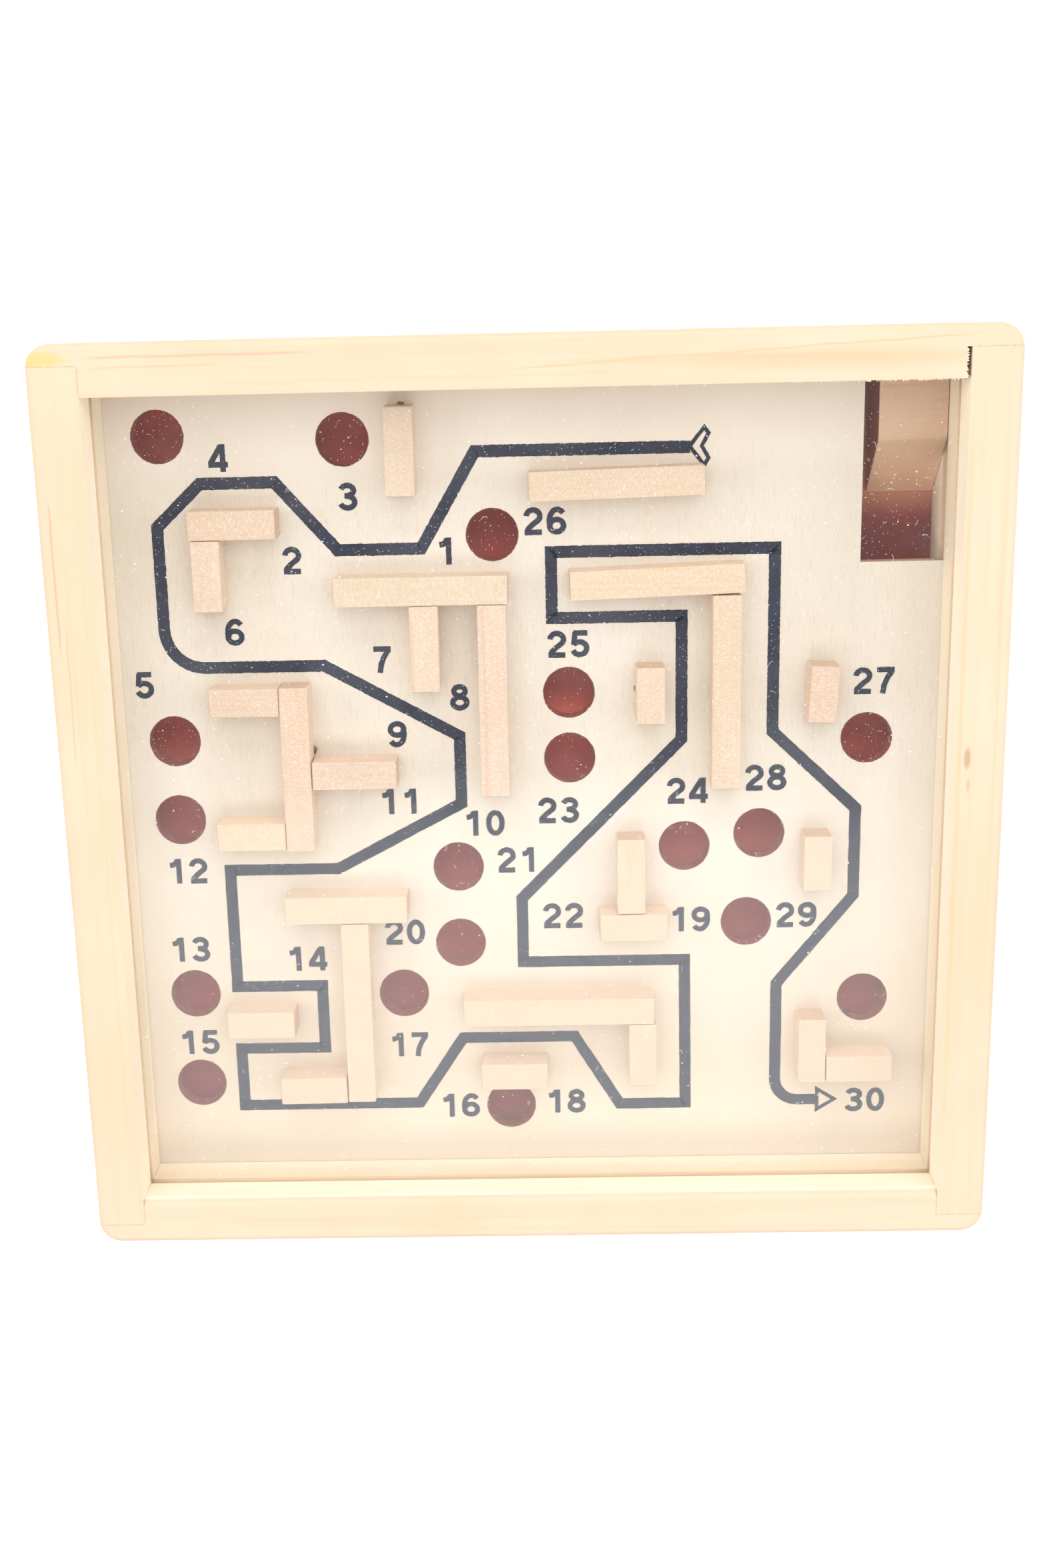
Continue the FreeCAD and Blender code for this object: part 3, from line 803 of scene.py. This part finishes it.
def flake(draw, x, y, z, size):
    """A crumb of dust: a low irregular pyramid."""
    corners = draw.choice((4, 5, 6))
    turn = draw.uniform(0, math.pi)
    stretch = draw.uniform(0.45, 1.0)
    ring = [(x + size * math.cos(turn + 2 * math.pi * i / corners) * draw.uniform(0.7, 1.1),
             y + size * stretch * math.sin(turn + 2 * math.pi * i / corners) * draw.uniform(0.7, 1.1), z)
            for i in range(corners)]
    faces = [(i, (i + 1) % corners, corners) for i in range(corners)]
    faces.append(tuple(reversed(range(corners))))
    return [*ring, (x, y, z + 0.5 * size)], faces


def fibre(draw, x, y, z, length, thickness):
    """A curled hair of lint, as a three-sided tube that lies on the lid."""
    heading, curl = draw.uniform(0, 2 * math.pi), draw.uniform(-1.0, 1.0) * 3.6
    steps = 9
    points = []
    for i in range(steps + 1):
        points.append((x, y, z + thickness * (1.0 + math.sin(math.pi * i / steps))))
        heading += curl / steps + draw.uniform(-0.25, 0.25)
        x += math.cos(heading) * length / steps
        y += math.sin(heading) * length / steps
    vertices, faces = [], []
    for i, point in enumerate(points):
        a, b = points[max(0, i - 1)], points[min(steps, i + 1)]
        run = Vector((b[0] - a[0], b[1] - a[1], 0)).normalized()
        side = Vector((-run.y, run.x, 0))
        radius = thickness * (0.5 if i in (0, steps) else 1.0)
        for angle in (90, 210, 330):
            spoke = side * math.cos(math.radians(angle)) + Vector((0, 0, math.sin(math.radians(angle))))
            vertices.append(tuple(Vector(point) + spoke * radius))
    for i in range(steps):
        for k in range(3):
            a, b = 3 * i + k, 3 * i + (k + 1) % 3
            faces.append((a, b, b + 3, a + 3))
    faces += [(2, 1, 0), (3 * steps, 3 * steps + 1, 3 * steps + 2)]
    return vertices, faces


FLAKES = 5200
# The smallest and the largest flake. Most are only a little larger than the smallest.
FLAKE_SIZES = (0.04, 0.16)
FIBRES = 300
FIBRE_LENGTHS = (0.3, 1.5)
FIBRE_WIDTHS = (0.018, 0.030)
# How far flakes and the start of fibres keep from the frame, so that none of them reaches into it.
FLAKE_MARGIN = 0.5
FIBRE_MARGIN = 3.5


def dust_the_lid():
    """Crumbs of dust and hairs of lint, spread evenly over the lid."""
    draw = random.Random(41)
    material = dust_finish()
    level = LID_TOP / MM

    def place(margin):
        return (draw.uniform(INNER_LEFT / MM + margin, INNER_RIGHT / MM - margin),
                draw.uniform(INNER_FRONT / MM + margin, INNER_BACK / MM - margin), level)

    flakes = [flake(draw, *place(FLAKE_MARGIN), min(FLAKE_SIZES[1], FLAKE_SIZES[0] + draw.expovariate(32)))
              for _ in range(FLAKES)]
    piece("lid_dust", *joined(flakes), material, "clear_plastic")
    lint = [fibre(draw, *place(FIBRE_MARGIN), draw.uniform(*FIBRE_LENGTHS), draw.uniform(*FIBRE_WIDTHS))
            for _ in range(FIBRES)]
    piece("lid_lint", *joined(lint), material, "clear_plastic")


# ---------------------------------------------------------------- small faults of the making

def splinter(draw, base, direction, length, width):
    """A torn sliver of wood: a thin four-sided spike."""
    along = Vector(direction).normalized()
    side = along.cross(Vector((0, 0, 1))).normalized() * width / 2
    up = Vector((0, 0, 1)) * width / 3
    start = Vector(base)
    middle = start + along * length * 0.55 + Vector((0, 0, draw.uniform(-0.05, 0.05)))
    tip = start + along * length + Vector((0, 0, draw.uniform(-0.12, 0.02)))
    vertices = [start + side - up, start - side - up, start - side * 0.8, start + side * 0.8,
                middle + side * 0.7 - up, middle - side * 0.6 - up, middle - side * 0.5, middle + side * 0.5,
                tip]
    faces = [(0, 1, 2, 3), (0, 4, 5, 1), (1, 5, 6, 2), (2, 6, 7, 3), (3, 7, 4, 0),
             (4, 8, 5), (5, 8, 6), (6, 8, 7), (7, 8, 4)]
    return [tuple(v) for v in vertices], [tuple(reversed(f)) for f in faces]


EDGE_SPLINTERS = 150
JOINT_SPLINTERS = 46
# Left of this place the rail's lower edge is clean.
CLEAN_TO = 10


def tear_the_rail():
    """Torn fibres along the top rail's lower edge, thickest at the open joint on the right."""
    draw = random.Random(9)
    material = torn_wood()
    top, back = FRAME_TOP / MM, INNER_BACK / MM
    parts = []
    for _ in range(EDGE_SPLINTERS):
        x = INNER_RIGHT / MM - 0.9 - draw.expovariate(1 / 14)
        if x < CLEAN_TO:
            continue
        base = (x, back + 0.12, top - 0.12 - draw.uniform(0, 0.25))
        direction = (draw.uniform(-0.8, 0.8), -1, 0)
        parts.append(splinter(draw, base, direction, draw.uniform(0.18, 0.5), draw.uniform(0.1, 0.3)))
    piece("torn_edge", *joined(parts), material, "pine")
    parts = []
    for _ in range(JOINT_SPLINTERS):
        y = draw.uniform(back + 0.1, back + 4.3)
        base = (INNER_RIGHT / MM - 0.78, y, top - 0.1 - draw.uniform(0, 0.3))
        direction = (1, draw.uniform(-0.9, 0.4), 0)
        parts.append(splinter(draw, base, direction, draw.uniform(0.2, 0.55), draw.uniform(0.12, 0.35)))
    piece("torn_joint", *joined(parts), material, "pine")


def blob(draw, x, y, z, reach):
    """A dried drop of glue: a low dome with an uneven outline."""
    steps, rings = 18, 4
    outline = [1 + 0.18 * math.sin(3 * a + draw.random()) + draw.uniform(-0.06, 0.06)
               for a in (2 * math.pi * i / steps for i in range(steps))]
    vertices, faces = [], []
    for ring in range(rings):
        share = math.cos(ring / rings * math.pi / 2)
        height = math.sin(ring / rings * math.pi / 2)
        for i in range(steps):
            angle = 2 * math.pi * i / steps
            vertices.append((x + reach[0] * share * outline[i] * math.cos(angle),
                             y + reach[1] * share * outline[i] * math.sin(angle), z + reach[2] * height))
    vertices.append((x, y, z + reach[2]))
    for ring in range(rings - 1):
        for i in range(steps):
            a, b = ring * steps + i, ring * steps + (i + 1) % steps
            faces.append((a, b, b + steps, a + steps))
    last = (rings - 1) * steps
    faces += [(last + i, last + (i + 1) % steps, rings * steps) for i in range(steps)]
    faces.append(tuple(reversed(range(steps))))
    return vertices, faces


def drip_glue():
    """Glue that squeezed out beside three of the strips."""
    draw = random.Random(3)
    material = dried_glue()
    level = BOARD_TOP / MM - 0.02
    drops = []
    # For each drop: its strip, the side that it is on, its shift from that side's middle, and its reach.
    for strip, side, shift, reach in (("wall_01", (0, 1), (0.2, 0.1), (0.55, 0.45, 0.3)),
                                      ("wall_08", (1, 0), (0.15, 2.4), (0.45, 0.8, 0.35)),
                                      ("wall_26", (-1, 0), (-0.05, 0.4), (0.22, 0.5, 0.3))):
        low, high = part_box(strip)
        middle, half = (low + high) / 2 / MM, (high - low) / 2 / MM
        x, y = (middle[axis] + side[axis] * half[axis] + shift[axis] for axis in (X, Y))
        drops.append(blob(draw, x, y, level, reach))
    piece("glue_drops", *joined(drops), material, "strip_wood")


# ---------------------------------------------------------------- the studio

# Half the floor's side, in metres.
FLOOR_REACH = 2.0


def build_floor():
    """A plain pale floor at the height of the frame's underside."""
    mesh = bpy.data.meshes.new("floor")
    grid = bmesh.new()
    bmesh.ops.create_grid(grid, x_segments=4, y_segments=4, size=FLOOR_REACH)
    grid.to_mesh(mesh)
    grid.free()
    mesh.materials.append(pale_floor())
    floor = bpy.data.objects.new("floor", mesh)
    bpy.context.scene.collection.objects.link(floor)
    floor.location.z = cad_bounds[0][Z]


WORLD_LIGHT = 0.32
AIM = (0, 0, 0.02)
# Softboxes, in metres: place, what it points at, width and depth, and radiance. The lid mirrors the ceiling
# one, which gives the haze over the lower half of the maze.
SOFTBOXES = {
    "ceiling": ((0, -0.47, 1.0), (0, -0.47, 0.0), (1.5, 0.42), 2.9),
    "overhead": ((0, 0.42, 1.0), AIM, (1.3, 0.6), 2.4),
    "front": ((0, -0.95, 0.5), AIM, (1.0, 0.4), 1.6),
    "back": ((0, 0.95, 0.62), AIM, (1.3, 0.45), 3.6),
    "left": ((-0.9, 0.1, 0.55), AIM, (1.0, 0.45), 3.5),
    "right": ((0.9, 0.1, 0.55), AIM, (1.0, 0.45), 3.5),
}


def softbox(name, place, aim, size, radiance):
    """A rectangular light of the given size in metres, as bright as radiance all over its face."""
    light = bpy.data.lights.new(name, "AREA")
    light.shape = "RECTANGLE"
    light.size, light.size_y = size
    light.energy = radiance * math.pi * size[0] * size[1]
    lamp = bpy.data.objects.new(name, light)
    lamp.location = place
    lamp.rotation_euler = (Vector(aim) - Vector(place)).to_track_quat("-Z", "Y").to_euler()
    bpy.context.scene.collection.objects.link(lamp)


def light_the_scene():
    """Plain soft studio light: an even world and softboxes on all sides."""
    world = bpy.data.worlds.new("studio")
    world.use_nodes = True
    background = world.node_tree.nodes["Background"]
    background.inputs["Color"].default_value = rgba(1, 0.995, 0.985)
    background.inputs["Strength"].default_value = WORLD_LIGHT
    bpy.context.scene.world = world
    for name, setup in SOFTBOXES.items():
        softbox(name, *setup)
    bpy.context.scene.view_settings.view_transform = "Standard"


def place_camera():
    """The photo's camera. flip turns between its axes, with Y down and Z ahead, and Blender's own."""
    camera = bpy.data.cameras.new("camera")
    camera.sensor_width = SENSOR
    camera.lens = LENS_SHARE * SENSOR
    camera.shift_x, camera.shift_y = SHIFT
    camera.clip_start = 0.01
    eye = bpy.data.objects.new("camera", camera)
    turn = [Matrix.Rotation(math.radians(angle), 3, axis) for angle, axis in zip(TURNS, "XYZ")]
    flip = Matrix.Diagonal((1, -1, -1))
    world_to_eye = turn[X] @ turn[Y] @ turn[Z] @ flip
    eye.matrix_world = Matrix.Translation(EYE) @ (world_to_eye.transposed() @ flip).to_4x4()
    bpy.context.scene.collection.objects.link(eye)
    bpy.context.scene.camera = eye


place_camera()
light_the_scene()
build_floor()
paint_parts()
print_maze()
line_holes()
dust_the_lid()
tear_the_rail()
drip_glue()
